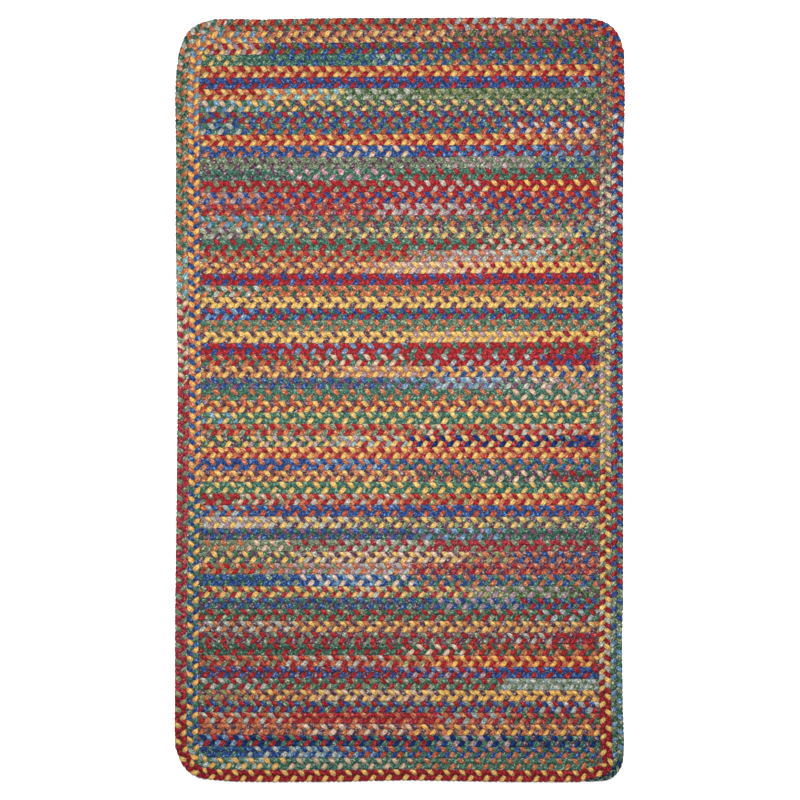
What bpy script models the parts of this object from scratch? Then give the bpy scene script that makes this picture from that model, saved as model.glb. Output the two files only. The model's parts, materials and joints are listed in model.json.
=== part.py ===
# Braided rug, lying flat on z = 0 with its length along Y. Straight rows of flat three-strand braid fill the
# field, and one border braid runs round them twice, as an outer and then an inner turn.

import math

import bmesh
import bpy
from mathutils import Vector

MM = 0.001

# Overall size and the braid's own section
RUG_WIDTH = 718.0 * MM
RUG_LENGTH = 1219.0 * MM
THICKNESS = 9.5 * MM
ROW_COUNT = 62
ROWS_PER_NODE = 2
PIECE_GAP = 0.4 * MM
SEAM_WAVER = 0.4 * MM

# Points round one braid's section as (across, up): across runs from 1 at one edge to -1 at the other, and up
# from 0 at the floor to 1 at the braid's top. The middle, where the strands dive under, lies a little lower.
SECTION_TOP = [(1.0, 0.45), (0.88, 0.76), (0.5, 1.0), (0.0, 0.93), (-0.5, 1.0), (-0.88, 0.76), (-1.0, 0.45)]
SECTION_BOTTOM = [(-0.92, 0.16), (-0.7, 0.0), (0.7, 0.0), (0.92, 0.16)]
SEAM_TOP = 0.66        # the sewn web between two joined rows, as parts of the height
SEAM_BOTTOM = 0.32
END_SQUEEZE = 0.72     # the cut ends are flattened by their sewing
END_LENGTH = 5.0 * MM
FLARE_CHECK = 6.0 * MM  # how far inwards a row's end looks for its neighbour's end

# Where each row's far edge strays from an even spacing
ROW_DRIFT = [
    {"row": 0, "shift": 0.0},
    {"row": 10, "shift": 1.7 * MM},
    {"row": 20, "shift": -0.4 * MM},
    {"row": 30, "shift": -0.5 * MM},
    {"row": 40, "shift": -1.7 * MM},
    {"row": 50, "shift": -2.5 * MM},
    {"row": 58, "shift": -1.5 * MM},
    {"row": 62, "shift": 0.0},
]

# The rug's four edges in mm, anticlockwise from above. "depth" is how far in the border reaches at the first
# and at the last end of the edge. "inset" is how far the edge lies inside the overall rectangle, as (place
# along the edge, inset). With "straight_inside" the border takes that unevenness up.
EDGES = [
    {"name": "right", "depth": (37.0, 37.4), "straight_inside": False,
     "inset": [(-542, 1.6), (-478, 3.8), (-383, 4.8), (-319, 3.2), (-160, 2.9), (32, 3.5), (191, 3.5),
               (318, 3.2), (414, 2.4), (446, 1.1), (478, 0.0), (535, 0.3)]},
    {"name": "top", "depth": (37.9, 41.1), "straight_inside": True,
     "inset": [(300, 1.4), (254, 1.7), (160, 0.0), (64, 0.5), (-32, 0.8), (-95, 0.8), (-159, 1.9),
               (-223, 3.4), (-255, 2.6), (-285, 2.6)]},
    {"name": "left", "depth": (37.8, 37.2), "straight_inside": False,
     "inset": [(535, 1.2), (478, 0.8), (382, 2.4), (286, 1.5), (159, 3.0), (79, 4.6), (-16, 4.8),
               (-96, 3.7), (-160, 3.2), (-255, 1.9), (-351, 0.8), (-478, 0.6), (-510, 0.0), (-545, 0.3)]},
    {"name": "bottom", "depth": (39.0, 37.1), "straight_inside": True,
     "inset": [(-298, 1.8), (-255, 0.6), (-191, 0.2), (-95, 0.6), (0, 3.0), (32, 2.7), (96, 1.6),
               (160, 0.5), (255, 0.0), (270, 0.1), (284, 0.3), (297, 0.5), (304, 0.8), (310, 1.2),
               (316, 1.6)]},
]
CORNER_RADIUS = {"right": 56.0 * MM, "top": 64.0 * MM, "left": 57.0 * MM, "bottom": 42.0 * MM}  # at its end
CORNER_STEPS = 8

# The border braid starts on the bottom edge and widens along its first stretch, as parts of its full width
BORDER_START_X = 297.0 * MM
START_TAPER = [
    {"along": 0.0, "part": 0.24},
    {"along": 12.0 * MM, "part": 0.36},
    {"along": 30.0 * MM, "part": 0.47},
    {"along": 60.0 * MM, "part": 0.72},
    {"along": 84.0 * MM, "part": 1.0},
]
STEP_IN_LENGTH = 28.0 * MM    # the stretch before its start over which the first turn moves inwards

# The second turn's end runs on past the start, into the corner between the border and the last row
TAIL = [
    {"x": 305.0 * MM, "part": 1.0},
    {"x": 312.0 * MM, "part": 1.0},
    {"x": 318.0 * MM, "part": 0.94},
    {"x": 321.5 * MM, "part": 0.62},
]

# Leading yarn of each pair of rows, from the far edge to the near one
YARNS = {
    "red": (0.49, 0.035, 0.05),
    "orange": (0.66, 0.19, 0.07),
    "yellow": (0.8, 0.52, 0.12),
    "blue": (0.05, 0.1, 0.4),
    "navy": (0.035, 0.06, 0.24),
    "teal": (0.07, 0.24, 0.19),
    "sage": (0.26, 0.36, 0.22),
    "plum": (0.24, 0.1, 0.17),
}
YARN_ROUGHNESS = 0.92
PAIR_YARNS = [
    "red", "blue", "sage", "blue", "orange", "sage", "red", "teal", "teal", "orange", "red",
    "yellow", "sage", "red", "orange", "teal", "teal", "orange", "blue", "teal", "blue", "sage",
    "plum", "blue", "teal", "yellow", "red", "blue", "yellow", "red", "navy",
]
BORDER_YARN = "red"

COLLECTION_NAME = "braided_rug"


def clear_scene():
    for old in list(bpy.data.objects):
        bpy.data.objects.remove(old, do_unlink=True)


def between(table, key, value, at):
    """Read a table at a place between two of its rows."""
    for low, high in zip(table, table[1:]):
        if at <= high[key]:
            share = (at - low[key]) / (high[key] - low[key])
            return low[value] + (high[value] - low[value]) * max(share, 0.0)
    return table[-1][value]


def smooth(share):
    share = min(max(share, 0.0), 1.0)
    return share * share * (3.0 - 2.0 * share)


def yarn_material(yarn):
    name = "yarn_" + yarn
    if name in bpy.data.materials:
        return bpy.data.materials[name]
    material = bpy.data.materials.new(name)
    material.use_nodes = True
    shader = material.node_tree.nodes["Principled BSDF"]
    shader.inputs["Base Color"].default_value = (*YARNS[yarn], 1.0)
    shader.inputs["Roughness"].default_value = YARN_ROUGHNESS
    shader.inputs["Metallic"].default_value = 0.0
    material.diffuse_color = (*YARNS[yarn], 1.0)
    return material


def loft(name, rings, material, collection):
    """Skin a closed body over a row of rings that all have the same number of points."""
    bm = bmesh.new()
    loops = [[bm.verts.new(point) for point in ring] for ring in rings]
    for first, second in zip(loops, loops[1:]):
        for i in range(len(first)):
            j = (i + 1) % len(first)
            bm.faces.new((first[i], first[j], second[j], second[i]))
    bm.faces.new(loops[0])
    bm.faces.new(loops[-1])
    bmesh.ops.recalc_face_normals(bm, faces=bm.faces[:])
    bmesh.ops.triangulate(bm, faces=bm.faces[:])
    mesh = bpy.data.meshes.new(name)
    bm.to_mesh(mesh)
    bm.free()
    mesh.materials.append(material)
    mesh.shade_smooth()
    mesh.set_sharp_from_angle(angle=math.radians(50))
    body = bpy.data.objects.new(name, mesh)
    collection.objects.link(body)
    return body


# ---- the outline ----

def edge_frame(name):
    """Origin on the overall rectangle, direction of travel and inward direction of one edge."""
    half_width, half_length = RUG_WIDTH / 2, RUG_LENGTH / 2
    return {
        "right": (Vector((half_width, 0)), Vector((0, 1)), Vector((-1, 0))),
        "top": (Vector((0, half_length)), Vector((1, 0)), Vector((0, -1))),
        "left": (Vector((-half_width, 0)), Vector((0, 1)), Vector((1, 0))),
        "bottom": (Vector((0, -half_length)), Vector((1, 0)), Vector((0, 1))),
    }[name]


def edge_stations(edge):
    """Places along one straight edge, each with its inward direction and the border's depth there."""
    origin, axis, inward = edge_frame(edge["name"])
    first, last = edge["inset"][0][0], edge["inset"][-1][0]
    stations = []
    for along, inset in edge["inset"]:
        share = (along - first) / (last - first)
        depth = edge["depth"][0] + (edge["depth"][1] - edge["depth"][0]) * share
        if edge["straight_inside"]:
            depth -= inset
        point = origin + axis * along * MM
        stations.append({"point": point, "inward": inward, "inset": inset * MM, "depth": depth * MM})
    return stations


def corner_stations(edge, before, after):
    """Places round the corner at an edge's end, easing from its own values to the next edge's."""
    radius = CORNER_RADIUS[edge["name"]]
    centre = {
        "right": Vector((RUG_WIDTH / 2 - radius, RUG_LENGTH / 2 - radius)),
        "top": Vector((-RUG_WIDTH / 2 + radius, RUG_LENGTH / 2 - radius)),
        "left": Vector((-RUG_WIDTH / 2 + radius, -RUG_LENGTH / 2 + radius)),
        "bottom": Vector((RUG_WIDTH / 2 - radius, -RUG_LENGTH / 2 + radius)),
    }[edge["name"]]
    start_angle = {"right": 0.0, "top": 90.0, "left": 180.0, "bottom": 270.0}[edge["name"]]
    stations = []
    for i in range(CORNER_STEPS + 1):
        share = i / CORNER_STEPS
        angle = math.radians(start_angle + 90.0 * share)
        outward = Vector((math.cos(angle), math.sin(angle)))
        stations.append({
            "point": centre + outward * radius,
            "inward": -outward,
            "inset": before["inset"] + (after["inset"] - before["inset"]) * share,
            "depth": before["depth"] + (after["depth"] - before["depth"]) * share,
        })
    return stations


def perimeter():
    """Stations once round the rug, from the border braid's start back to it, with the distance gone."""
    straights = [edge_stations(edge) for edge in EDGES]
    loop = []
    for i, edge in enumerate(EDGES):
        loop += straights[i]
        loop += corner_stations(edge, straights[i][-1], straights[(i + 1) % 4][0])
    braid_start = Vector((BORDER_START_X, -RUG_LENGTH / 2))
    start = min(range(len(loop)), key=lambda i: (loop[i]["point"] - braid_start).length)
    loop = loop[start:] + loop[:start] + [dict(loop[start])]
    travelled = 0.0
    for i, station in enumerate(loop):
        if i:
            travelled += (station["point"] - loop[i - 1]["point"]).length
        station["along"] = travelled
    loop[-1] = dict(loop[0], along=travelled)
    return loop


def place(station, distance):
    """Point a distance inside the rug's real edge."""
    return station["point"] + station["inward"] * (station["inset"] + distance)


# ---- the border braid ----

def border_turns(loop):
    """Outer and inner side of the border braid at every station of its two turns."""
    total = loop[-1]["along"]
    first_turn = []
    for station in loop:
        width = (station["depth"] - PIECE_GAP) / 2
        part = between(START_TAPER, "along", "part", station["along"])
        step = smooth(1.0 - (total - station["along"]) / STEP_IN_LENGTH)
        start_side = (loop[0]["depth"] - PIECE_GAP) / 2 * START_TAPER[0]["part"] + PIECE_GAP
        outer = start_side * step
        first_turn.append({"station": station, "outer": outer, "inner": outer + width * part, "part": part})
    second_turn = []
    for section in first_turn[1:]:
        station = section["station"]
        width = (station["depth"] - PIECE_GAP) / 2
        outer = section["inner"] + PIECE_GAP
        near_end = station["along"] > total / 2
        inner = station["depth"] if near_end else outer + width
        second_turn.append({"station": station, "outer": outer, "inner": inner, "part": 1.0})
    return first_turn, second_turn


def inner_side(section):
    return place(section["station"], section["inner"])


def tail_sections(first_turn, second_turn):
    """The border's end: it fills what its own second turn leaves open under the last row."""
    inner = first_turn[-1]["station"]["inset"] + first_turn[-1]["station"]["depth"]
    corner = [inner_side(section) for section in second_turn[:CORNER_STEPS + 4]]
    sections = []
    for row in TAIL:
        a, b = next((a, b) for a, b in zip(corner, corner[1:]) if a.x <= row["x"] <= b.x)
        floor = a.y + (b.y - a.y) * (row["x"] - a.x) / (b.x - a.x)
        outer = floor + RUG_LENGTH / 2 + PIECE_GAP
        half = (inner - outer) / 2 * row["part"]
        foot = Vector((row["x"], -RUG_LENGTH / 2))
        station = {"point": foot, "inward": Vector((0, 1)), "inset": 0.0}
        middle = (inner + outer) / 2
        section = {"station": station, "outer": middle - half, "inner": middle + half, "part": row["part"]}
        sections.append(section)
    return sections


def border_ring(section):
    """Section of the border braid at one station."""
    height = THICKNESS * (0.6 + 0.4 * section["part"])
    middle = (section["outer"] + section["inner"]) / 2
    half = (section["inner"] - section["outer"]) / 2
    ring = []
    for across, up in SECTION_TOP + SECTION_BOTTOM:
        spot = place(section["station"], middle + half * across)
        ring.append((spot.x, spot.y, height * up))
    return ring


# ---- the field rows ----

def field_side(outline, y, side):
    """X of the field's left (-1) or right (1) side at y. No row flares past its inner neighbour."""
    reach = []
    for level in (y, y - math.copysign(FLARE_CHECK, y)):
        hits = []
        for a, b in zip(outline, outline[1:] + outline[:1]):
            if (a.y - level) * (b.y - level) <= 0 and abs(a.y - b.y) > 1e-9:
                hits.append(a.x + (b.x - a.x) * (level - a.y) / (b.y - a.y))
        reach.append(max(side * x for x in hits))
    return side * min(reach)


def seam_y(row, x):
    """Y of the far edge of a row (row 0 is the field's far edge), with its slope, drift and waver."""
    limits = []
    for edge in (EDGES[1], EDGES[3]):
        first_x, last_x = edge["inset"][0][0] * MM, edge["inset"][-1][0] * MM
        share = (x - first_x) / (last_x - first_x)
        depth = edge["depth"][0] + (edge["depth"][1] - edge["depth"][0]) * share
        limits.append(RUG_LENGTH / 2 - depth * MM - PIECE_GAP)
    top, bottom = limits[0], -limits[1]
    drift = between(ROW_DRIFT, "row", "shift", row)
    edge_free = min(row, ROW_COUNT - row, 1)
    waver = SEAM_WAVER * math.sin(x * 11.0 + row * 2.4) * edge_free
    return top + (bottom - top) * row / ROW_COUNT + drift + waver


def row_point(outline, first_row, offset, along, end):
    """A point of a row pair: offset runs 0 to 2 across the pair, along -1 to 1 over its length."""
    row = first_row + offset
    x = 0.0
    for _ in range(4):
        y = seam_y(math.floor(row), x)
        y += (seam_y(math.floor(row) + 1, x) - y) * (row - math.floor(row))
        if offset < 1:
            y -= PIECE_GAP / 2 * (1 - offset)
        else:
            y += PIECE_GAP / 2 * (offset - 1)
        left, right = (field_side(outline, y, side) - side * PIECE_GAP for side in (-1, 1))
        middle, half = (left + right) / 2, (right - left) / 2
        x = middle + half * along + (END_LENGTH * end)
    return x, y


def pair_ring(outline, first_row, along, end, squeeze):
    """Section of two rows sewn side by side, flattened by squeeze at a cut end."""
    top = [((1 - across) / 2, up) for across, up in SECTION_TOP]
    bottom = [((1 - across) / 2, up) for across, up in SECTION_BOTTOM]
    points = top[:-1] + [(1.0, SEAM_TOP)] + [(offset + 1, up) for offset, up in top[1:]]
    points += [(offset + 1, up) for offset, up in bottom[:-1]] + [(1.0, SEAM_BOTTOM)] + bottom[1:]
    ring = []
    for offset, up in points:
        x, y = row_point(outline, first_row, offset, along, end)
        lifted = 0.5 + (up - 0.5) * squeeze
        ring.append((x, y, THICKNESS * lifted))
    return ring


def build():
    clear_scene()
    collection = bpy.data.collections.new(COLLECTION_NAME)
    bpy.context.scene.collection.children.link(collection)

    first_turn, second_turn = border_turns(perimeter())
    sections = first_turn + second_turn + tail_sections(first_turn, second_turn)
    rings = [border_ring(section) for section in sections]
    loft("border_braid", rings, yarn_material(BORDER_YARN), collection)

    outline = [inner_side(section) for section in second_turn]
    stations = [(-1, 0, END_SQUEEZE), (-1, 1, 1.0), (0, 0, 1.0), (1, -1, 1.0), (1, 0, END_SQUEEZE)]
    for pair in range(ROW_COUNT // ROWS_PER_NODE):
        first_row = pair * ROWS_PER_NODE
        rings = [pair_ring(outline, first_row, *station) for station in stations]
        name = "rows_%02d_%02d" % (first_row + 1, first_row + 2)
        loft(name, rings, yarn_material(PAIR_YARNS[pair]), collection)


build()
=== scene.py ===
import json
import math

import bpy
import numpy as np
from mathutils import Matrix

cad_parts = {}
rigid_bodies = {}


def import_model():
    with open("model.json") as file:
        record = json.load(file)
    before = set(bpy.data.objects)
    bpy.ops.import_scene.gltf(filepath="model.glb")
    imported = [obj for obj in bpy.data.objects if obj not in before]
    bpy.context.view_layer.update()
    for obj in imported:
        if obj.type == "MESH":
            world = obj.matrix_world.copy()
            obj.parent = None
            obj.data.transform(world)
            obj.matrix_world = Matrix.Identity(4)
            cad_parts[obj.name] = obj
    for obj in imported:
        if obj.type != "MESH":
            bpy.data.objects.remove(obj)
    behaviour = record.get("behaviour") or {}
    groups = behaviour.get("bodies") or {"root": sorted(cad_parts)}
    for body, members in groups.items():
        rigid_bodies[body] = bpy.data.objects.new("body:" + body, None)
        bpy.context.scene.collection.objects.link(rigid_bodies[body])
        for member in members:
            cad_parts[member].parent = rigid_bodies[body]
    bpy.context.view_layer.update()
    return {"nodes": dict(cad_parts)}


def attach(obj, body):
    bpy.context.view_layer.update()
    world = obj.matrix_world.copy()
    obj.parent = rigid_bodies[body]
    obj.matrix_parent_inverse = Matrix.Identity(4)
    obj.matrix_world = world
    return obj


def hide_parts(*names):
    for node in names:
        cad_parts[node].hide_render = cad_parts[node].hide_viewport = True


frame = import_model()
print("frame loaded:", len(frame["nodes"]), "nodes")

mm = 0.001
cm = 0.01
chance = np.random.default_rng(62)

# The rug's own sizes, most of which are the solids' too
rug = {
    "width": 718.0 * mm,
    "length": 1219.0 * mm,
    "thickness": 9.5 * mm,
    "rows": 62,
    "gap": 0.4 * mm,            # between the braids
    "driftRows": [0, 10, 20, 30, 40, 50, 58, 62],
    "driftShifts": [0.0, 1.7, -0.4, -0.5, -1.7, -2.5, -1.5, 0.0],    # mm, of the seams above these rows
    "seamWaver": 0.4 * mm,
    "waverTurn": 11.0,          # radians in a metre of a seam
    "waverStep": 2.4,           # radians from one seam to the next
    "rowStations": 320,
    "flareCheck": 6.0 * mm,     # how far inwards a row's end looks for its neighbour's end
    "tuck": 2.2 * mm,           # how far a row's end goes under the border
    "bendOver": 40.0 * mm,      # the stretch at its end in which a row gives way to the border's round
    "aboveFloor": 0.05 * mm,    # the least that a strand keeps above the floor
}

# The four edges anticlockwise from the right one, in mm: how deep the border is at each end of the edge, and
# how far the edge lies inside the overall rectangle, as (place, inset). The corner is the one at its far end,
# and cut is how much further inside than a round one it lies, at even steps along it.
edges = [
    {"depth": (37.0, 37.4), "straightInside": False, "corner": 56.0, "cut": (1.8, 1.7, 0.2, 0.6, 0.5),
     "inset": [(-542, 1.6), (-478, 3.8), (-383, 4.8), (-319, 3.2), (-160, 2.9), (32, 3.5), (191, 3.5),
               (318, 3.2), (414, 2.4), (446, 1.1), (478, 0.3), (535, 1.4)]},
    {"depth": (37.9, 41.1), "straightInside": True, "corner": 64.0, "cut": (3.0, 1.5, 0.7, 2.8, 0.9),
     "inset": [(300, 1.4), (254, 1.7), (160, 0.0), (64, 0.5), (-32, 0.8), (-95, 0.8), (-159, 1.9),
               (-223, 3.4), (-255, 2.6), (-285, 2.6)]},
    {"depth": (37.8, 37.2), "straightInside": False, "corner": 57.0, "cut": (2.4, 2.4, 1.5, 1.0, 0.8),
     "inset": [(540, 5.0), (525, 3.2), (505, 1.6), (478, 0.8), (382, 2.4), (286, 1.5), (159, 3.0),
               (79, 4.6), (-16, 4.8), (-96, 3.7), (-160, 3.2), (-255, 1.9), (-351, 0.8), (-478, 0.6),
               (-510, 0.0), (-545, 0.9)]},
    {"depth": (39.0, 37.1), "straightInside": True, "corner": 42.0, "cut": (0.0, -0.9, -0.5, 0.9, 0.9),
     "inset": [(-302, 3.8), (-288, 2.6), (-255, 0.6), (-191, 0.2), (-95, 0.6), (0, 3.0), (32, 2.7), (96, 1.6),
               (160, 0.5), (255, 0.0), (270, 0.1), (284, 0.3), (297, 0.5), (304, 0.8), (310, 1.2),
               (316, 1.6)]},
]

border = {
    "startX": 297.0 * mm,                           # where its braid starts, on the near edge
    "step": 2.0 * mm,
    "cornerSteps": 24,
    "cutFullAt": 0.125,                             # of the way round a corner
    "cutInside": 0.5,                               # of a corner's cut that its inner side doesn't follow
    "taperAt": [0.0, 12.0, 30.0, 60.0, 84.0],       # mm from its start
    "taperPart": [0.20, 0.29, 0.41, 0.68, 1.0],     # of its full width
    "stepIn": 9.0 * mm,                             # over which it goes inwards before it meets its start
    "tailX": [305.0, 312.0, 318.0, 321.5],          # mm, past its own start, into the corner
    "tailPart": [1.0, 1.0, 0.94, 0.62],
    "tailSteps": 60,                                # of the inner side, which hold the corner round the tail
    "period": 25.8 * mm,
    "bakeSegments": 13,
}


def smooth(share):
    share = np.clip(share, 0.0, 1.0)
    return share * share * (3.0 - 2.0 * share)


def rising(low, share):
    # from low, where share is 0, to 1
    return low + (1.0 - low) * share


def unit(vectors):
    return vectors / np.linalg.norm(vectors, axis=-1, keepdims=True)


def outlineStations():
    # columns: x, y, inward x, inward y, inset, depth, distance gone
    half = np.array([rug["width"], rug["length"]]) / 2
    rows = []
    for i, edge in enumerate(edges):
        outward = np.array([round(math.cos(i * math.pi / 2)), round(math.sin(i * math.pi / 2))])
        travel = np.array([-outward[1], outward[0]])
        places, insets = np.array(edge["inset"]).T * mm
        share = (places - places[0]) / (places[-1] - places[0])
        depths = (edge["depth"][0] + (edge["depth"][1] - edge["depth"][0]) * share) * mm
        if edge["straightInside"]:
            depths = depths - insets
        for place, inset, depth in zip(places, insets, depths):
            point = outward * half + abs(travel) * place
            rows.append((*point, *-outward, inset, depth))
        after = edges[(i + 1) % len(edges)]
        nextInset = after["inset"][0][1] * mm
        nextDepth = after["depth"][0] * mm - (nextInset if after["straightInside"] else 0.0)
        radius = edge["corner"] * mm
        centre = (outward + travel) * (half - radius)
        cuts = np.array(edge["cut"]) * mm
        for step in range(border["cornerSteps"] + 1):
            share = step / border["cornerSteps"]
            angle = (i + share) * math.pi / 2
            out = np.array([math.cos(angle), math.sin(angle)])
            cut = np.interp(share, np.linspace(0, 1, len(cuts)), cuts) * min(1.0, share / border["cutFullAt"])
            inset = insets[-1] + (nextInset - insets[-1]) * share + cut
            depth = depths[-1] + (nextDepth - depths[-1]) * share - border["cutInside"] * cut
            rows.append((*(centre + out * radius), *-out, inset, depth))
    rows = np.array(rows)
    start = np.argmin(np.hypot(rows[:, 0] - border["startX"], rows[:, 1] + half[1]))
    rows = np.vstack([rows[start:], rows[:start + 1]])
    gone = np.append(0.0, np.cumsum(np.hypot(*np.diff(rows[:, :2], axis=0).T)))
    return np.column_stack([rows, gone])


def resample(table, key, step):
    # the same table at even steps of one of its columns
    count = int((table[-1, key] - table[0, key]) / step) + 1
    at = np.linspace(table[0, key], table[-1, key], count)
    return np.column_stack([np.interp(at, table[:, key], column) for column in table.T])


def borderRoute():
    # both turns and the tail: x, y, left x, left y, half width, part of full size, run of the rug's edge
    loop = resample(outlineStations(), 6, border["step"])
    point, inward = loop[:, :2], unit(loop[:, 2:4])
    inset, depth, along = loop[:, 4], loop[:, 5], loop[:, 6]
    total = along[-1]
    width = (depth - rug["gap"]) / 2
    part = np.interp(along / mm, border["taperAt"], border["taperPart"])
    outerOne = (width[0] * part[0] + rug["gap"]) * smooth(1 - (total - along) / border["stepIn"])
    innerOne = outerOne + width * part
    outerTwo = innerOne + rug["gap"]
    innerTwo = np.where(along > total / 2, depth, outerTwo + width)

    def turn(outer, inner, size, run):
        middle = point + inward * (inset + (outer + inner) / 2)[:, None]
        return np.column_stack([middle, inward, (inner - outer) / 2 + braid["nestle"], size, run])

    inside = point + inward * (inset + innerTwo)[:, None]
    corner = inside[:border["tailSteps"]]
    tailX = np.array(border["tailX"]) * mm
    floorY = np.interp(tailX, corner[:, 0], corner[:, 1]) + rug["gap"]
    topY = -rug["length"] / 2 + inset[0] + depth[0]
    half = (topY - floorY) / 2 * border["tailPart"]
    tail = np.column_stack([tailX, (topY + floorY) / 2, tailX * 0, tailX * 0 + 1, half,
                            np.minimum(half / half[0], 1.0), 2 * total + tailX - tailX[0]])
    both = np.vstack([turn(outerOne, innerOne, part, along),
                      turn(outerTwo, innerTwo, part * 0 + 1, along + total)[1:], tail])
    return both, inside


# Yarns, as screen colours to the nearest five: the main one and the fleck that is spun in with it
yarns = {
    "red": ((155, 30, 40), (180, 70, 70)),
    "deepRed": ((145, 25, 40), (170, 60, 65)),
    "crimson": ((150, 35, 55), (180, 100, 95)),
    "rust": ((165, 75, 50), (195, 125, 85)),
    "orange": ((175, 100, 65), (190, 150, 120)),
    "apricot": ((175, 115, 75), (185, 145, 110)),
    "gold": ((200, 165, 90), (195, 145, 95)),
    "yellow": ((195, 165, 95), (190, 160, 105)),
    "paleYellow": ((190, 165, 105), (185, 160, 105)),
    "olive": ((135, 135, 90), (170, 165, 135)),
    "moss": ((70, 95, 60), (130, 155, 110)),
    "sage": ((105, 120, 95), (170, 175, 155)),
    "mint": ((150, 155, 145), (190, 180, 170)),
    "cream": ((190, 170, 155), (175, 155, 125)),
    "peach": ((185, 165, 145), (180, 135, 105)),
    "rose": ((170, 120, 130), (195, 185, 185)),
    "mauve": ((115, 75, 95), (150, 130, 140)),
    "lilac": ((150, 125, 135), (180, 165, 155)),
    "plum": ((95, 60, 80), (160, 150, 150)),
    "teal": ((55, 105, 90), (140, 160, 140)),
    "darkGreen": ((50, 90, 75), (125, 155, 130)),
    "aqua": ((130, 150, 150), (180, 180, 170)),
    "lightBlue": ((90, 130, 160), (160, 175, 175)),
    "blue": ((40, 70, 130), (100, 140, 175)),
    "navy": ((5, 40, 100), (15, 85, 150)),
    "greyBlue": ((110, 150, 160), (165, 200, 190)),
}

# Each row from the far one, left to right: its three strands in the order of their humps, and where a strand
# goes over into its next yarn, in cm from the rug's middle.
rowYarns = """
paleYellow -22 moss, lilac -22 blue, red
paleYellow -26 teal -4 mint 1 apricot 9 orange, teal -21 blue, teal
paleYellow -15 yellow, orange, red
red, blue, blue 27 lightBlue
paleYellow -9 mint 3 olive, orange -12 sage, red -22 greyBlue -9 moss
teal, lightBlue -20 plum, peach -26 gold -11 paleYellow 18 yellow
red, sage, blue
blue, teal 17 cream, mint -25 rust
yellow 12 paleYellow, orange, red 24 mauve
blue 8 lightBlue, blue 25 mauve, orange -12 peach 2 red
sage, sage, plum 8 lilac 22 blue
teal, teal, plum -18 rose -1 red
red, red, sage -1 mint 14 yellow
blue, orange, lilac -22.5 red
red, orange -3 mint 13 olive, mauve -4 lilac 13 blue
teal 29.5 mint, orange, lightBlue -17 plum
sage, mint -25 paleYellow, plum 20 lilac 28 blue
teal 13 peach 27 orange, red, teal
orange, red 2 lilac 17 aqua 23 darkGreen, sage 7 mint 26 olive
yellow, orange -2 peach 8 cream 16 yellow, plum -6 lilac 9 crimson
red, red, blue
orange, darkGreen, mint -22 orange
yellow, yellow, plum
blue, red, lightBlue -23 teal
teal, sage, orange
yellow, yellow, plum 2 lilac 21 crimson
red, red, blue -20 lightBlue 1 teal
red, teal 4 aqua 23 blue, orange -13 peach 1 red
yellow, plum -10 lilac 5 blue, apricot
blue -2 lightBlue 16 teal, teal 6 aqua 17 mint 21 cream 25 orange, mauve 23 lilac
teal, teal, orange 17 peach 31 red
rust, yellow, plum
teal, lightBlue -26 teal, paleYellow
sage 16 mint 30 paleYellow, red 3 peach 8 orange, orange 4 red
darkGreen -10 aqua 1 navy, yellow 8 paleYellow 24 sage 28 blue, plum -24 lilac -6 crimson
orange, crimson, yellow
blue, orange, blue -14 lightBlue -2 teal
orange 12 peach 24 red, yellow -12 paleYellow 2 darkGreen, plum
teal, teal, paleYellow -16 yellow 18 paleYellow
red, sage -17 mint 1 olive 12 paleYellow, red -26 peach -18 orange
blue, rust, aqua -25 blue
yellow 16 paleYellow, mint -8 sage, lilac -21 plum
blue 3 lightBlue 17 teal, darkGreen, mauve
sage -10 mint 5 crimson, sage, orange -24 peach -17 crimson
yellow 6 paleYellow 11 olive 18 blue, teal -17 mint -11 cream 10 orange, plum
orange, red -22 lilac 3 plum, sage -10 mint 2 crimson
blue, blue -13 lightBlue -3 teal, darkGreen -22 sage -16.5 cream 2 orange
crimson 11 lilac 27 plum, yellow -10 paleYellow 12 olive 17 moss, sage -7 mint -2 sage
blue, teal, plum 6 lilac 19 red
red, sage 22 aqua, darkGreen
mint -16 yellow 20 paleYellow, apricot, plum
red, plum, sage 16 mint 24 crimson
red, darkGreen, darkGreen 1 cream 10 orange
orange, sage -18 mint -1 olive 5 gold, red
blue, plum 0 lilac 15 blue, red
red 17 mint, mint -21 sage, teal 16 aqua
olive -24 yellow 14 gold, orange -13 peach 5 gold, plum
blue, sage 21 mint, red
mint -17 crimson, red 6 aqua 17 darkGreen, orange
orange, orange -16 cream 2 gold, plum
navy, lightBlue -25 teal, red 6 lilac 18 plum
blue, teal -24 mint -10 rust 6 orange, blue -18 lightBlue -3 teal
""".strip().splitlines()

# The border's three strands over its whole run, in cm from its start
borderYarns = """
darkGreen 27 sage 35 red 188 mint 200 sage 297 olive 304 yellow 469 peach 481 orange 646 teal
sage 92 mint 111 orange 236 peach 251 crimson 300 deepRed 433 lilac 450 plum 559 lightBlue 590 blue \
688 aqua 706 teal
navy 8 lightBlue 28 blue 134 aqua 152 teal 190 darkGreen 231 greyBlue 238 crimson 300 deepRed 397 mint \
412 sage 500 moss 530 paleYellow 549 yellow 559 gold 708 peach 728 orange
""".strip().splitlines()


def linear(colour):
    # the light that a screen colour stands for
    value = np.array(colour) / 255
    return np.where(value < 0.04045, value / 12.92, ((value + 0.055) / 1.055) ** 2.4)


def readStrand(text):
    # "teal 14 cream 28 orange" as the yarns and the places where they change
    words = text.split()
    return words[::2], [float(word) * cm for word in words[1::2]]


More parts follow.
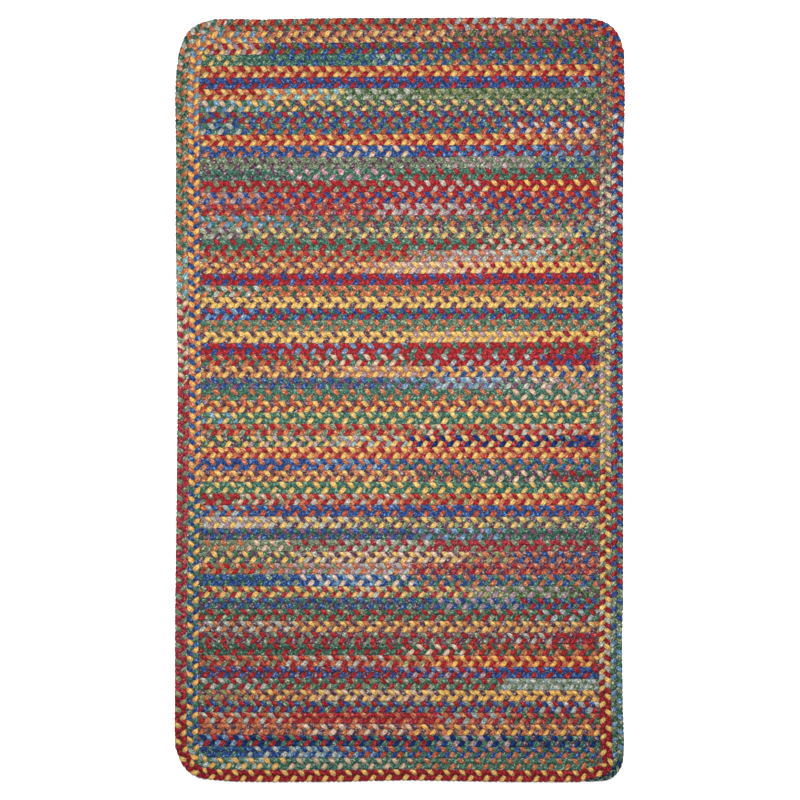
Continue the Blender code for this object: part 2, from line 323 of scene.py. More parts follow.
def strandColours(text, at):
    # Two yarns at every place and the part of the plies that has gone over to the second. The pair changes
    # one yarn at a time, and only where that yarn has no part.
    names, places = readStrand(text)
    table = [np.array([linear(tone) for tone in yarns[name]]) for name in names]
    if not places:
        one = np.broadcast_to(table[0], (len(at), 2, 3))
        return one, one, at * 0
    places = np.array(places)
    zone = np.searchsorted((places[1:] + places[:-1]) / 2, at)
    share = smooth((at - places[zone]) / braid["change"] + 0.5)
    even = zone % 2 == 0
    low, high = np.array(table)[zone], np.array(table)[zone + 1]
    first = np.where(even[:, None, None], low, high)
    second = np.where(even[:, None, None], high, low)
    return first, second, np.where(even, share, 1 - share)


braid = {
    "period": 26.4 * mm,
    "steps": 13,            # rings in one period of a strand
    "sides": 6,
    "halfWide": 4.2 * mm,   # of a strand, where it humps on top of the braid
    "halfThick": 2.5 * mm,
    "square": 0.55,         # 1 is an ellipse, less has a flatter top
    "wave": 2.35 * mm,      # how far a strand goes over and under
    "pinch": 0.12,          # narrower where it turns at the edge and dives in the middle
    "thin": 0.28,           # and thinner there
    "lift": 0.9,            # how much sooner it rises at the edge, in radians
    "straight": 1.0,        # 0 sways from side to side, 1 goes straight across
    "lean": -0.2,           # how much steeper it crosses on top than beneath
    "nestle": 0.45 * mm,    # how far the humps of neighbouring braids press into each other
    "pressed": 2.4 * mm,    # how much of a hump is pressed flat by the next braid
    "pressSoft": 0.5 * mm,  # over which the flat side is rounded off
    "fullHalf": 9.2 * mm,   # half width of a full braid, which the strand sizes belong to
    "smallest": 0.5,        # of a full strand's width, where the braid tapers
    "largest": 1.08,        # and where it is widest
    "lowest": 0.6,          # of a full strand's height, where the braid tapers
    "leastSway": 0.3,       # of the half width, however wide the strand
    "endLength": 7.0 * mm,
    "endDip": 1.3 * mm,     # how far it goes down at an end, to lie under its neighbour
    "endSway": 0.85,        # of its way across that is left at an end
    "endWave": 0.5,         # of its wave that is left there
    "tipLength": 3.0 * mm,
    "tipSize": 0.6,
    "seamShade": 0.3,       # how much less light comes to its edge than to the top
    "shadeFrom": 0.55,      # of the way to the seam
    "shadeOver": 0.35,
    "seamWide": 1.5 * mm,   # how near the next braid a strand's side gets painted shade
    "change": 46.0 * mm,    # over which one yarn goes over into the next
    "wander": 0.10,         # of a period, how unevenly it is plaited
    "wanderOver": 3.0,      # periods
    "plump": 0.07,          # how unevenly thick a strand is
    "plumpOver": 0.5,       # periods
    "yarnRun": 400.0,       # cm of yarn, in which every strand's piece has a place of its own
    "bakeSegments": 3,
    "bakeInset": (0.05, 0.01),    # of a strip of the baked map, left free at its sides and its ends
}


def pressToSeam(ring, left, across, half):
    # a strand's rings, flattened where they would go past the seam, and how near it each of their points is
    soft = braid["pressSoft"]
    out = across[:, None] + (ring * left[:, None]).sum(axis=-1)
    over = np.maximum(np.abs(out) - half[:, None] + soft, 0.0)
    back = over - soft * (1 - np.exp(-over / soft))
    near = smooth((np.abs(out) - half[:, None]) / braid["seamWide"] + 1.0)
    return ring - left[:, None] * (np.sign(out) * back)[..., None], near


def bakePlace(strip, u, v):
    # a place in the baked map, a little inside its strip
    side, end = braid["bakeInset"]
    return np.stack([strip + side + (1 - 2 * side) * u, end + (1 - 2 * end) * v], axis=-1)


class MeshBag:
    # gathers tubes, then makes one mesh of them
    def __init__(self):
        self.points, self.quads, self.tris = [], [], []
        self.quadUv, self.triUv, self.quadBake, self.triBake = [], [], [], []
        self.first, self.second, self.share, self.open, self.seam = [], [], [], [], []
        self.count = 0
        self.bakeStrips = 0

    def tube(self, centres, side, up, wide, thick, sides, colours, openness, segments=1, press=None):
        # One closed tube along centres, with its yarns and its maps. Its braid's seams press it, given as the
        # way to the left, how far across the braid the centres are, and the braid's half width.
        angle = np.arange(sides) * 2 * math.pi / sides
        flat, tall = (np.sign(wave) * np.abs(wave) ** braid["square"]
                      for wave in (np.cos(angle), np.sin(angle)))
        ring = (side[:, None] * (wide[:, None] * flat)[..., None]
                + up[:, None] * (thick[:, None] * tall)[..., None])
        seam = np.zeros((len(centres), sides))
        if press:
            ring, seam = pressToSeam(ring, *press)
        points = np.vstack([(centres[:, None] + ring).reshape(-1, 3), centres[:1], centres[-1:]])
        points[:, 2] = np.maximum(points[:, 2], rug["aboveFloor"])
        self.points.append(points)
        gone = np.append(0, np.cumsum(np.linalg.norm(np.diff(centres, axis=0), axis=1))) / cm
        gone += chance.random() * braid["yarnRun"]
        perStrip = math.ceil((len(centres) - 1) / segments)
        self.addSides(len(centres), sides, gone, perStrip)
        self.addCaps(len(centres), sides, gone, perStrip)
        self.bakeStrips += segments
        for store, values in zip((self.first, self.second, self.share, self.open), (*colours, openness)):
            values = np.asarray(values)
            store.append(np.concatenate([np.repeat(values, sides, axis=0), values[:1], values[-1:]]))
        self.seam.append(np.append(seam.ravel(), [0.0, 0.0]))
        self.count += len(points)

    def addSides(self, rings, sides, gone, perStrip):
        j, i = (grid.ravel() for grid in np.meshgrid(np.arange(rings - 1), np.arange(sides), indexing="ij"))
        k = (i + 1) % sides
        self.quads.append(self.count + np.stack([j * sides + i, j * sides + k, (j + 1) * sides + k,
                                                 (j + 1) * sides + i], axis=1))
        u = np.stack([i, i + 1, i + 1, i], axis=1) / sides
        v = np.stack([j, j, j + 1, j + 1], axis=1)
        self.quadUv.append(np.stack([u, gone[v]], axis=-1))
        strip = (j // perStrip)[:, None]
        self.quadBake.append(bakePlace(self.bakeStrips + strip, u, (v - strip * perStrip) / perStrip))

    def addCaps(self, rings, sides, gone, perStrip):
        ends = np.arange(sides)
        after = (ends + 1) % sides
        last = (rings - 1) * sides
        start = np.stack([after, ends, ends * 0 + rings * sides], axis=1)
        finish = np.stack([last + ends, last + after, ends * 0 + rings * sides + 1], axis=1)
        self.tris += [self.count + start, self.count + finish]
        lastStrip = (rings - 2) // perStrip
        lastV = (rings - 1 - lastStrip * perStrip) / perStrip
        for place, strip, v, flip in ((gone[0], 0, 0.0, 1), (gone[-1], lastStrip, lastV, 0)):
            u = np.stack([ends + flip, ends + 1 - flip, ends + 0.5], axis=1) / sides
            self.triUv.append(np.stack([u, u * 0 + place], axis=-1))
            self.triBake.append(bakePlace(self.bakeStrips + strip, u, u * 0 + v))

    def build(self, name, material):
        mesh = bpy.data.meshes.new(name)
        points = np.concatenate(self.points)
        quads, tris = np.concatenate(self.quads), np.concatenate(self.tris)
        corners = np.concatenate([quads.ravel(), tris.ravel()])
        starts = np.concatenate([np.arange(len(quads)) * 4, quads.size + np.arange(len(tris)) * 3])
        mesh.vertices.add(len(points))
        mesh.vertices.foreach_set("co", points.astype(np.float32).ravel())
        mesh.loops.add(len(corners))
        mesh.loops.foreach_set("vertex_index", corners.astype(np.int32))
        mesh.polygons.add(len(starts))
        mesh.polygons.foreach_set("loop_start", starts.astype(np.int32))
        mesh.update(calc_edges=True)
        strandMap = np.concatenate([np.concatenate(self.quadUv).reshape(-1, 2),
                                    np.concatenate(self.triUv).reshape(-1, 2)])
        bakeMap = np.concatenate([np.concatenate(self.quadBake).reshape(-1, 2),
                                  np.concatenate(self.triBake).reshape(-1, 2)])
        bakeMap[:, 0] /= self.bakeStrips
        for mapName, values in (("strand", strandMap), ("OFBake", bakeMap)):
            layer = mesh.uv_layers.new(name=mapName)
            layer.data.foreach_set("uv", values.astype(np.float32).ravel())
        first, second = np.concatenate(self.first), np.concatenate(self.second)
        for attribute, values in (("yarn", first[:, 0]), ("fleck", first[:, 1]),
                                  ("nextYarn", second[:, 0]), ("nextFleck", second[:, 1])):
            layer = mesh.attributes.new(attribute, "FLOAT_COLOR", "POINT")
            rgba = np.column_stack([values, np.ones(len(values))])
            layer.data.foreach_set("color", rgba.astype(np.float32).ravel())
        for attribute, values in (("change", self.share), ("open", self.open), ("seam", self.seam)):
            layer = mesh.attributes.new(attribute, "FLOAT", "POINT")
            layer.data.foreach_set("value", np.concatenate(values).astype(np.float32))
        mesh.shade_smooth()
        mesh.materials.append(material)
        piece = bpy.data.objects.new(name, mesh)
        bpy.context.scene.collection.objects.link(piece)
        return piece


def uneven(length, spacing, amount):
    # a smooth random line over a length, to read with np.interp
    knots = np.arange(0, length + 2 * spacing, spacing)
    return knots, chance.normal(0, amount, len(knots)).clip(-2 * amount, 2 * amount)


def plait(bag, route, texts, period, segments, dip, bend=None):
    # Three strands along a route. Its columns: x, y, left x, left y, half width, part of full size, place in
    # the yarn chart.
    gone = np.append(0, np.cumsum(np.hypot(*np.diff(route[:, :2], axis=0).T)))
    length = gone[-1]
    at = np.linspace(0, length, int(length / period * braid["steps"]) + 1)
    x, y, leftX, leftY, half, size, where = (np.interp(at, gone, column) for column in route.T)
    left = np.column_stack([leftX, leftY, leftX * 0])
    fromEnd = np.minimum(at, length - at)
    ending = smooth(fromEnd / braid["endLength"])
    tip = rising(braid["tipSize"], smooth(fromEnd / braid["tipLength"]))
    high = rising(braid["lowest"], size)
    scale = np.clip(half / braid["fullHalf"], braid["smallest"], braid["largest"])
    periods = np.append(0, np.cumsum(np.diff(at) / (period * np.clip(size[1:], braid["smallest"], 1.0))))
    turn = 2 * math.pi * (periods + chance.random()
                          + np.interp(at, *uneven(length, period * braid["wanderOver"], braid["wander"])))
    for k, text in enumerate(texts):
        theta = turn - 2 * math.pi * k / len(texts)
        plump = 1 + np.interp(at, *uneven(length, period * braid["plumpOver"], braid["plump"]))
        over = np.abs(np.sin(2 * theta))
        wide = braid["halfWide"] * scale * (1 + braid["pinch"] * (over - 1)) * plump
        thick = braid["halfThick"] * high * plump * (1 + braid["thin"] * (over - 1))
        edge = braid["halfWide"] * scale * (1 - braid["pinch"]) - braid["pressed"]
        sweep = np.cos(theta)
        sweep += braid["straight"] * (1 - 2 / math.pi * np.arccos(sweep) - sweep)
        across = np.maximum(half - edge, braid["leastSway"] * half) * sweep * rising(braid["endSway"], ending)
        rise = braid["wave"] * high * np.sin(2 * theta + braid["lift"]) * rising(braid["endWave"], ending)
        rise -= dip * (1 - ending)
        shift = braid["lean"] / 2 * np.cos(2 * theta) * period / (2 * math.pi) * scale
        centres = np.column_stack([x + leftX * across + leftY * shift, y + leftY * across - leftX * shift,
                                   rug["thickness"] / 2 * high + rise])
        if bend:
            centres = bend(centres)
        tangent = unit(np.gradient(centres, axis=0))
        side = unit(np.column_stack([-tangent[:, 1], tangent[:, 0], tangent[:, 0] * 0]))
        up = np.cross(tangent, side)
        # how open each ring is to the light: it gets painted shade where this is low, deep in the braid where
        # the strand dives under the others, and near the seams
        atSeam = smooth((np.abs(across / half) - braid["shadeFrom"]) / braid["shadeOver"])
        openness = np.abs(np.sin(2 * theta + braid["lift"])) * (1 - braid["seamShade"] * atSeam)
        colours = strandColours(text, where)
        bag.tube(centres, side, up, wide * tip, thick * tip, braid["sides"], colours, openness,
                 segments, (left, across, half))


# Loose ply ends, at the ends of the rows and of the border's braid and in two corners of the field
tufts = {
    "plies": 18,            # at each end of a row
    "cornerPlies": 26,
    "back": 8.0 * mm,       # how far inside the braid they begin, at most
    "leastBack": 0.6,       # of that
    "beyond": (-1.5, 2.2),  # mm, how far past the seam they end
    "pastRow": 0.8 * mm,    # where that seam is, past a row's own end
    "spread": 0.8,          # over the braid's half width
    "stray": 2.2 * mm,
    "arch": 0.25,           # how much higher their middle is, of their range of levels
    "levels": (2.0 * mm, 7.5 * mm),
    "rowLevels": (2.2 * mm, 8.4 * mm),
    "radius": 0.8 * mm,
    "sizes": (0.7, 1.2),    # of that radius
    "tipSize": 0.7,
    "sides": 3,
    "steps": 4,
    "ownYarn": 0.45,        # how many have one of the row's own yarns
    # how open to the light the tufts are, for their painted shade
    "open": 0.8,
    "otherYarns": ["sage", "sage", "mint", "moss", "greyBlue", "mauve", "olive"],
    # two corners of the field: the place in mm, the way outwards, the half width in mm and the yarns
    "filled": [((-317, 553), (-0.9, 0.4), 5.0, ["gold", "sage", "teal"]),
               ((326, -572), (1.0, 0.0), 10.0, ["teal", "sage", "sage"])],
    "startYarns": ["sage", "mint", "darkGreen"],
    "startBack": 6.0 * mm,  # how far before the thin start of the border's braid
    "startHalf": 1.5 * mm,
    "startLevels": (1.5 * mm, 5.5 * mm),
    "startRadius": 0.5 * mm,
    "startStray": 0.4 * mm,
    "endYarns": ["sage", "mint", "teal"],
}


def tuft(bag, tip, outward, half, names, count, levels=tufts["levels"], radius=tufts["radius"],
         stray=tufts["stray"]):
    # short bent plies that fill the place between a cut end and what it is sewn to
    across = np.array([-outward[1], outward[0]])
    for _ in range(count):
        lane = chance.uniform(-1, 1) * half * tufts["spread"]
        start = tip - outward * tufts["back"] * chance.uniform(tufts["leastBack"], 1.0) + across * lane
        finish = tip + outward * chance.uniform(*tufts["beyond"]) * mm
        finish = finish + across * (lane + chance.normal(0, stray))
        low, middle, high = chance.uniform(*levels, 3)
        middle += tufts["arch"] * (levels[1] - levels[0])
        t = np.linspace(0, 1, tufts["steps"])[:, None]
        first, last = np.array([*start, low]), np.array([*finish, high])
        bent = np.array([*((start + finish) / 2 + across * chance.normal(0, stray)), middle])
        centres = first * (1 - t) ** 2 + bent * 2 * t * (1 - t) + last * t ** 2
        tangent = unit(np.gradient(centres, axis=0))
        side = unit(np.column_stack([-tangent[:, 1], tangent[:, 0], tangent[:, 0] * 0]))
        chosen = names if chance.random() < tufts["ownYarn"] else tufts["otherYarns"]
        colours = strandColours(chosen[chance.integers(len(chosen))], centres[:, 0])
        size = radius * chance.uniform(*tufts["sizes"]) * np.linspace(1.0, tufts["tipSize"], len(t))
        bag.tube(centres, side, np.cross(tangent, side), size, size, tufts["sides"], colours,
                 np.full(len(t), tufts["open"]))


def fieldReach(inside):
    # how far the field goes to either side at a level, from the border's inner side taken five times finer
    levels = np.arange(-rug["length"] / 2, rug["length"] / 2, mm)
    dense = resample(np.column_stack([inside, np.arange(len(inside))]), 2, 1 / 5)
    reach = {}
    for side in (-1, 1):
        best = np.full(len(levels), -1.0)
        slot = ((dense[:, 1] - levels[0]) / mm).astype(int).clip(0, len(levels) - 1)
        np.maximum.at(best, slot, side * dense[:, 0])
        known = best > 0
        best = np.interp(levels, levels[known], best[known])
        inner = np.interp(levels - np.copysign(rug["flareCheck"], levels), levels, best)
        reach[side] = (levels, np.minimum(best, inner) - rug["gap"])
    return reach


def seamY(row, x):
    # the level of the seam above a row, which the border's straight inner sides and the rows' drift give
    limits = []
    for edge in (edges[1], edges[3]):
        firstX, lastX = edge["inset"][0][0] * mm, edge["inset"][-1][0] * mm
        share = (x - firstX) / (lastX - firstX)
        depth = edge["depth"][0] + (edge["depth"][1] - edge["depth"][0]) * share
        limits.append(rug["length"] / 2 - depth * mm - rug["gap"])
    drift = np.interp(row, rug["driftRows"], rug["driftShifts"]) * mm
    free = min(row, rug["rows"] - row, 1)    # none for the seams with the border, which don't waver
    waver = rug["seamWaver"] * np.sin(x * rug["waverTurn"] + row * rug["waverStep"]) * free
    return limits[0] - (limits[0] + limits[1]) * row / rug["rows"] + drift + waver


def rowRoute(row, reach):
    middleY = (seamY(row, 0.0) + seamY(row + 1, 0.0)) / 2
    left = -np.interp(middleY, *reach[-1])
    right = np.interp(middleY, *reach[1])
    x = np.linspace(left - rug["tuck"], right + rug["tuck"], rug["rowStations"])
    top, bottom = seamY(row, x), seamY(row + 1, x)
    half = (top - bottom) / 2 + braid["nestle"]
    return np.column_stack([x, (top + bottom) / 2, x * 0, x * 0 + 1, half, x * 0 + 1, x])


def rowTufts(bag, path, reach, texts):
    for side, end in ((-1, path[0]), (1, path[-1])):
        names = [readStrand(text)[0][0 if side < 0 else -1] for text in texts]
        top = end[1] + end[4] * tufts["spread"]
        bottom = end[1] - end[4] * tufts["spread"]
        free = min(np.interp(level, *reach[side]) for level in (top, bottom, end[1]))
        tip = np.array([side * (free + tufts["pastRow"]), end[1]])
        tuft(bag, tip, np.array([side, 0.0]), end[4], names, tufts["plies"], tufts["rowLevels"])


def bendInto(reach, path):
    # near its ends a row gives way to the round of the border
    ends = (path[0, 0], path[-1, 0])

    def bend(centres):
        for side, end in zip((-1, 1), ends):
            free = np.interp(centres[:, 1], *reach[side])
            short = np.maximum(side * end - rug["tuck"] - free, 0.0)
            near = smooth((side * centres[:, 0] - side * end + rug["bendOver"]) / rug["bendOver"])
            centres[:, 0] -= side * short * near
        return centres

    return bend


class Wire:
    # a socket that takes part in Python sums
    def __init__(self, tree, socket=None):
        self.tree = tree
        self.socket = socket

    def node(self, kind, settings, inputs, out=0):
        made = self.tree.nodes.new(kind)
        for key, value in settings.items():
            setattr(made, key, value)
        for key, value in inputs.items():
            if isinstance(value, Wire):
                self.tree.links.new(value.socket, made.inputs[key])
            else:
                made.inputs[key].default_value = value
        return Wire(self.tree, made.outputs[out] if len(made.outputs) else None)

    def maths(self, operation, *values):
        return self.node("ShaderNodeMath", {"operation": operation}, dict(enumerate(values)))

    def vector(self, operation, first, second):
        key = "Scale" if operation == "SCALE" else 1
        return self.node("ShaderNodeVectorMath", {"operation": operation}, {0: first, key: second})

    def __add__(self, other):
        return self.maths("ADD", self, other)

    def __radd__(self, other):
        return self.maths("ADD", other, self)

    def __sub__(self, other):
        return self.maths("SUBTRACT", self, other)

    def __rsub__(self, other):
        return self.maths("SUBTRACT", other, self)

    def __mul__(self, other):
        return self.maths("MULTIPLY", self, other)

    def __rmul__(self, other):
        return self.maths("MULTIPLY", other, self)


def mixColours(wire, factor, first, second):
    return wire.node("ShaderNodeMix", {"data_type": "RGBA", "clamp_factor": True},
                     {0: factor, 6: first, 7: second}, out=2)


def readAttribute(wire, name, out=0):
    return wire.node("ShaderNodeAttribute", {"attribute_name": name}, {}, out=out)


def grain(wire, x, y, detail=2.0, roughness=0.6):
    # noise at a place, whose steps give its fineness
    place = wire.node("ShaderNodeCombineXYZ", {}, {"X": x, "Y": y})
    return wire.node("ShaderNodeTexNoise", {"noise_dimensions": "2D"},
                     {"Vector": place, "Scale": 1.0, "Detail": detail, "Roughness": roughness})


def span(wire, value, ends):
    # 0 to 1 while a value goes from the one end to the other
    return wire.node("ShaderNodeMapRange", {}, {"Value": value, "From Min": ends[0], "From Max": ends[1]})


def emptyMaterial(name):
    # with the way round a strand, from 0 to 1, and along it, in cm
    material = bpy.data.materials.new(name)
    material.use_nodes = True
    material.node_tree.nodes.clear()
    wire = Wire(material.node_tree)
    place = wire.node("ShaderNodeUVMap", {"uv_map": "strand"}, {})
    around = wire.node("ShaderNodeSeparateXYZ", {}, {"Vector": place}, out=0)
    along = wire.node("ShaderNodeSeparateXYZ", {}, {"Vector": place}, out=1)
    return material, wire, around, along


yarnLook = {
    "plies": 6,
    "twist": 0.35,              # ply widths that a ply moves round in a cm
    "changeMargin": 0.15,       # how far the change of yarn is drawn out past its ends, to take in every ply
    "changeSpread": 1.6,        # how unevenly the plies take part in it
    "changeEnds": (0.42, 0.58),
    "changeSteps": (5.3, 0.35),         # in the noise, for a ply and for a cm
    "fleckSteps": (3.7, 1.1, 2.4),      # for a ply, across a ply and for a cm
    "fleckEnds": (0.46, 0.60),
    "fleckAmount": 0.9,
    "rimFleck": 0.18,           # how much more the flecks come at a strand's sides
    "rimMiddle": 0.6,
    "fibreSteps": (40.0, 4.0),          # once round and for a cm
    "speckSteps": (12.0, 4.5),
    "speckAway": 50.0,          # keeps the specks apart from the fibres
    "speckEnds": (0.52, 0.40),  # of the noise, where a dark speck of painted shade, in a pit between plies, begins and where it is full
    "coreRim": 0.3,
    "coreEnds": (0.52, 0.40),   # of the noise of the flecks, where their lack is dark
    "flankEnds": (0.4, 0.8),    # of the way from the strand's ridge to its side, where painted shade on its flank begins and is full
    "seamEnds": (0.45, 1.0),    # of the way from the strand's ridge to the seam, where painted shade along the seam begins and is full
    # how strongly each darkening is multiplied into the colour: painted shade in the creases, deep in the
    # braid, on the flanks, at the seams and in pits; coreDark is a darker tone of the yarn itself where it
    # lacks flecks
    "creaseDark": 0.45,
    "deepDark": 0.60,
    "flankDark": 0.62,
    "seamDark": 0.55,
    "coreDark": 0.25,
    "speckDark": 0.72,
    "fibreDark": 0.30,
    "paleLift": 0.45,           # how much less a pale yarn shows all of these darkenings, most of which are painted shade
    "bounce": 0.95,             # how much of the light that a crease takes comes back in the yarn's colour
    "humpVary": 0.22,
    "humpStep": 0.5,            # in the noise, for a cm
    "plyBump": 0.0007,
    "fibreBump": 0.00022,
    "roughness": 0.9,
    "gloss": 0.1,
    "sheen": 0.05,
    "sheenRoughness": 0.5,
}


def yarnMaterial():
    material, wire, around, along = emptyMaterial("braidedYarn")
    plyPlace = around * yarnLook["plies"] + along * yarnLook["twist"]
    plyNumber = wire.maths("FLOORED_MODULO", wire.maths("FLOOR", plyPlace), float(yarnLook["plies"]))
    inPly = wire.maths("FRACT", plyPlace)
    # crown is 1 on a ply's ridge and 0 in the crease between plies, where shade is painted into the colour
    crown = wire.maths("SINE", inPly * math.pi)
    rim = wire.maths("ABSOLUTE", wire.maths("COSINE", around * (2 * math.pi)))

    # which plies have gone over to the next yarn
    plyStep, cmStep = yarnLook["changeSteps"]
    lot = grain(wire, plyNumber * plyStep, along * cmStep, 1.0, 0.5)
    margin = yarnLook["changeMargin"]
    change = readAttribute(wire, "change", 2) * (1 + 2 * margin) - margin
    gone = span(wire, change - (lot - 0.5) * yarnLook["changeSpread"], yarnLook["changeEnds"])
    main = mixColours(wire, gone, readAttribute(wire, "yarn"), readAttribute(wire, "nextYarn"))
    fleck = mixColours(wire, gone, readAttribute(wire, "fleck"), readAttribute(wire, "nextFleck"))

    # flecks run along a ply for a centimetre or so
    plyStep, inPlyStep, cmStep = yarnLook["fleckSteps"]
    heather = grain(wire, plyNumber * plyStep + inPly * inPlyStep, along * cmStep)
    atRim = (rim - yarnLook["rimMiddle"]) * yarnLook["rimFleck"]
    flecked = span(wire, heather + atRim, yarnLook["fleckEnds"])
    colour = mixColours(wire, flecked * yarnLook["fleckAmount"], main, fleck)

    roundStep, cmStep = yarnLook["fibreSteps"]
    fibre = grain(wire, around * roundStep, along * cmStep)
    # specks of painted shade, in the pits between plies
    roundStep, cmStep = yarnLook["speckSteps"]
    speck = grain(wire, around * roundStep + yarnLook["speckAway"], along * cmStep, 1.0)
    # painted shade deep in the braid, where a strand goes under the others
    openness = readAttribute(wire, "open", 2)
    # painted shade multiplied into the colour, all but the core, which is the yarn's own darker tone
    darker = {
        "creaseDark": 1.0 - crown,
        "deepDark": 1.0 - openness * openness,
        "flankDark": span(wire, rim, yarnLook["flankEnds"]),
        "seamDark": span(wire, readAttribute(wire, "seam", 2), yarnLook["seamEnds"]),
        "coreDark": span(wire, heather + rim * yarnLook["coreRim"], yarnLook["coreEnds"]),
        "speckDark": span(wire, speck, yarnLook["speckEnds"]),
    }
    shade = 1.0
    for name, amount in darker.items():
        shade = shade * (1.0 - amount * yarnLook[name])
    shade = shade * (1.0 + (fibre - 0.5) * (2 * yarnLook["fibreDark"]))
    pale = wire.node("ShaderNodeRGBToBW", {}, {"Color": colour})
    shade = 1.0 - (1.0 - shade) * (1.0 - pale * yarnLook["paleLift"])
    # light that goes to and fro in a crease keeps a pale yarn bright and warm there, and a dark one dark
    lit = wire.vector("SCALE", colour, shade)
    lost = wire.vector("SCALE", colour, (1.0 - shade) * yarnLook["bounce"])
    colour = wire.vector("DIVIDE", lit, wire.vector("SUBTRACT", (1.0, 1.0, 1.0), lost))
    each = wire.node("ShaderNodeTexNoise", {"noise_dimensions": "1D"},
                     {"W": along * yarnLook["humpStep"], "Scale": 1.0, "Detail": 1.0})
    colour = wire.vector("SCALE", colour, 1.0 + (each - 0.5) * (2 * yarnLook["humpVary"]))

    height = crown * yarnLook["plyBump"] + fibre * yarnLook["fibreBump"]
    bump = wire.node("ShaderNodeBump", {}, {"Height": height, "Distance": 1.0, "Strength": 1.0})
    surface = wire.node("ShaderNodeBsdfPrincipled", {}, {
        "Base Color": colour, "Normal": bump, "Roughness": yarnLook["roughness"],
        "Specular IOR Level": yarnLook["gloss"], "Sheen Weight": yarnLook["sheen"],
        "Sheen Roughness": yarnLook["sheenRoughness"]})
    wire.node("ShaderNodeOutputMaterial", {}, {"Surface": surface})
    return material


yarnSurface = yarnMaterial()
route, inside = borderRoute()
reach = fieldReach(inside)

# two rows in each piece, as in the solids
for first in range(0, rug["rows"], 2):
    bag = MeshBag()
    for row in (first, first + 1):
        path = rowRoute(row, reach)
        texts = rowYarns[row].split(", ")
        plait(bag, path, texts, braid["period"], braid["bakeSegments"], braid["endDip"],
              bendInto(reach, path))
        rowTufts(bag, path, reach, texts)
    numbers = "%02d_%02d" % (first + 1, first + 2)
    node = "rows_" + numbers
    pair = bag.build("braids_" + numbers, yarnSurface)
    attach(pair, "root")
    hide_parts(node)
print("field rows plaited")

bag = MeshBag()
plait(bag, route, borderYarns, border["period"], border["bakeSegments"], 0.0)
tuft(bag, route[0, :2] - [tufts["startBack"], 0], np.array([-1.0, 0.0]), tufts["startHalf"],
     tufts["startYarns"], tufts["cornerPlies"], tufts["startLevels"], tufts["startRadius"],
     tufts["startStray"])
for place, outward, half, names in tufts["filled"]:
    tuft(bag, np.array(place) * mm, np.array(outward), half * mm, names, tufts["cornerPlies"])
tuft(bag, route[-1, :2], np.array([1.0, 0.0]), route[-1, 4], tufts["endYarns"], tufts["cornerPlies"])
borderPiece = bag.build("border_plait", yarnSurface)
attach(borderPiece, "root")
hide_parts("border_braid")
print("border plaited")

# Sewing thread
thread = {
    "radius": 0.5 * mm,
    "sides": 3,
    "stitch": 5.0 * mm,
    "sway": 1.3 * mm,       # to either side of the seam
    "height": 5.6 * mm,
    "unevenHeight": 0.3 * mm,
    "fromBorder": 4.0 * mm,
    "seamSteps": 80,
    "skipped": (30, 5),     # stations of the border's second turn without a seam, at its start and its end
    # near black: partly the thread's own colour, partly painted shade, so that the thread fills the seams
    # between braids with dark
    "colour": (0.045, 0.045, 0.04, 1.0),
    "hollow": 0.45,         # of that colour, painted shade between its plies
    "plyTurns": (3.0, 9.0),     # once round and for a cm
    "plyBump": 0.00008,
    "roughness": 0.8,
    "gloss": 0.3,
}


def zigzag(bag, line):
    # a thread that crosses the seam to and fro between the two braids
    line = resample(np.column_stack([line, np.append(0, np.cumsum(np.hypot(*np.diff(line, axis=0).T)))]),
                    2, thread["stitch"])[:, :2]
    tangent = unit(np.gradient(line, axis=0))
    cross = np.column_stack([-tangent[:, 1], tangent[:, 0]])
    to = np.where(np.arange(len(line)) % 2, 1, -1)[:, None] * thread["sway"]
    centres = np.column_stack([line + cross * to, np.full(len(line), thread["height"])])
    centres[:, 2] += chance.normal(0, thread["unevenHeight"], len(line))
    side = np.column_stack([cross, cross[:, 0] * 0])
    up = side * 0 + [0, 0, 1]
    size = np.full(len(line), thread["radius"])
    bag.tube(centres, side, up, size, size, thread["sides"], strandColours("sage", size), size * 0)


def threadMaterial():
    material, wire, around, along = emptyMaterial("sewingThread")
    roundTurns, cmTurns = thread["plyTurns"]
    ply = wire.maths("SINE", (around * roundTurns + along * cmTurns) * (2 * math.pi))
    # painted shade in the grooves between the thread's plies
    dark = tuple(part * thread["hollow"] for part in thread["colour"][:3]) + (1.0,)
    colour = mixColours(wire, ply * 0.5 + 0.5, dark, thread["colour"])
    bump = wire.node("ShaderNodeBump", {},
                     {"Height": ply * thread["plyBump"], "Distance": 1.0, "Strength": 1.0})
    surface = wire.node("ShaderNodeBsdfPrincipled", {}, {
        "Base Color": colour, "Normal": bump, "Roughness": thread["roughness"],
        "Specular IOR Level": thread["gloss"]})
    wire.node("ShaderNodeOutputMaterial", {}, {"Surface": surface})
    return material


bag = MeshBag()
for row in range(1, rug["rows"]):
    level = seamY(row, 0.0)
    left, right = -np.interp(level, *reach[-1]), np.interp(level, *reach[1])
    x = np.linspace(left + thread["fromBorder"], right - thread["fromBorder"], thread["seamSteps"])
    zigzag(bag, np.column_stack([x, seamY(row, x)]))
turnEnd = np.searchsorted(route[:, 6], route[:, 6].max() / 2)
secondTurn = route[turnEnd:-thread["skipped"][1]]
for hand in (-1, 1):    # with the first turn, and with the field
    besideIt = secondTurn[:, :2] + hand * secondTurn[:, 2:4] * secondTurn[:, 4:5]
    zigzag(bag, besideIt[thread["skipped"][0]:])
threadPiece = bag.build("sewing_thread", threadMaterial())
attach(threadPiece, "root")
triangles = sum(len(face.vertices) - 2 for thing in bpy.data.objects if thing.type == "MESH"
                and thing.name not in frame["nodes"] for face in thing.data.polygons)
print("seams sewn,", triangles, "triangles in all")

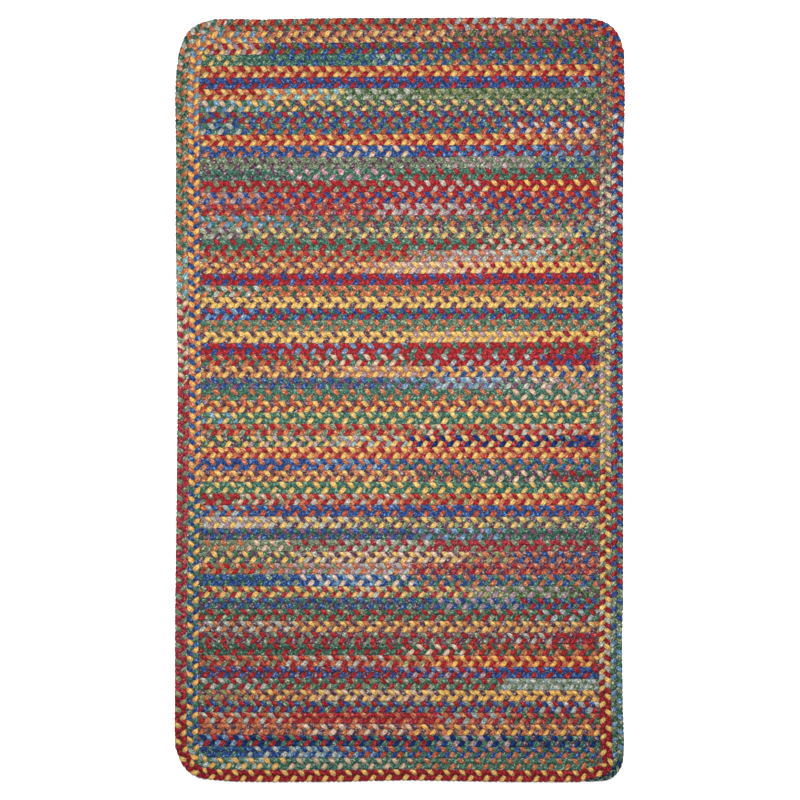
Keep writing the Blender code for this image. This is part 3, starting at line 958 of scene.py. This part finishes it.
# Floor, light and camera
studio = {
    "floorSize": 12.0,
    "floorColour": (0.93, 0.93, 0.93, 1.0),
    "floorRoughness": 0.8,
    "floorGloss": 0.1,
    "floorGlow": 0.45,          # a light table's, so that it stays white beyond the lamp's reach
    "worldStrength": 0.15,
    "lampPlace": (-0.02, 0.17, 1.4),
    "lampSize": 1.0,
    "lampPower": 58.5,
    "viewWidth": 1274.6 * mm,   # what the picture is wide, on the floor
    "aim": (0.3 * mm, -0.4 * mm),
    "lens": 120.0,
    "sensor": 36.0,
    "farthest": 30.0,
}

floorMesh = bpy.data.meshes.new("studio_floor")
far = studio["floorSize"] / 2
floorMesh.from_pydata([(-far, -far, 0), (far, -far, 0), (far, far, 0), (-far, far, 0)], [], [(0, 1, 2, 3)])
floorPiece = bpy.data.objects.new("studio_floor", floorMesh)
bpy.context.scene.collection.objects.link(floorPiece)
floorMaterial = bpy.data.materials.new("paleFloor")
floorMaterial.use_nodes = True
floorShader = floorMaterial.node_tree.nodes["Principled BSDF"]
floorShader.inputs["Base Color"].default_value = studio["floorColour"]
floorShader.inputs["Roughness"].default_value = studio["floorRoughness"]
floorShader.inputs["Specular IOR Level"].default_value = studio["floorGloss"]
floorShader.inputs["Emission Color"].default_value = (1.0, 1.0, 1.0, 1.0)
floorShader.inputs["Emission Strength"].default_value = studio["floorGlow"]
floorMesh.materials.append(floorMaterial)

world = bpy.data.worlds.new("studioLight")
world.use_nodes = True
world.node_tree.nodes["Background"].inputs["Color"].default_value = (1.0, 1.0, 1.0, 1.0)
world.node_tree.nodes["Background"].inputs["Strength"].default_value = studio["worldStrength"]
bpy.context.scene.world = world

lampData = bpy.data.lights.new("key", "AREA")
lampData.shape = "DISK"
lampData.size = studio["lampSize"]
lampData.energy = studio["lampPower"]
lamp = bpy.data.objects.new("key", lampData)
lamp.location = studio["lampPlace"]
toX, toY, toZ = (-part for part in studio["lampPlace"])    # it looks at the middle of the rug
lamp.rotation_euler = (math.atan2(math.hypot(toX, toY), -toZ), 0.0, math.atan2(toX, -toY) + math.pi)
bpy.context.scene.collection.objects.link(lamp)

cameraData = bpy.data.cameras.new("camera")
cameraData.lens = studio["lens"]
cameraData.sensor_width = studio["sensor"]
cameraData.clip_end = studio["farthest"]
camera = bpy.data.objects.new("camera", cameraData)
camera.location = (*studio["aim"], rug["thickness"] + studio["viewWidth"] * studio["lens"] / studio["sensor"])
camera.rotation_euler = (0.0, 0.0, 0.0)    # straight down
bpy.context.scene.collection.objects.link(camera)
bpy.context.scene.camera = camera
bpy.context.scene.view_settings.view_transform = "Standard"
print("studio ready")
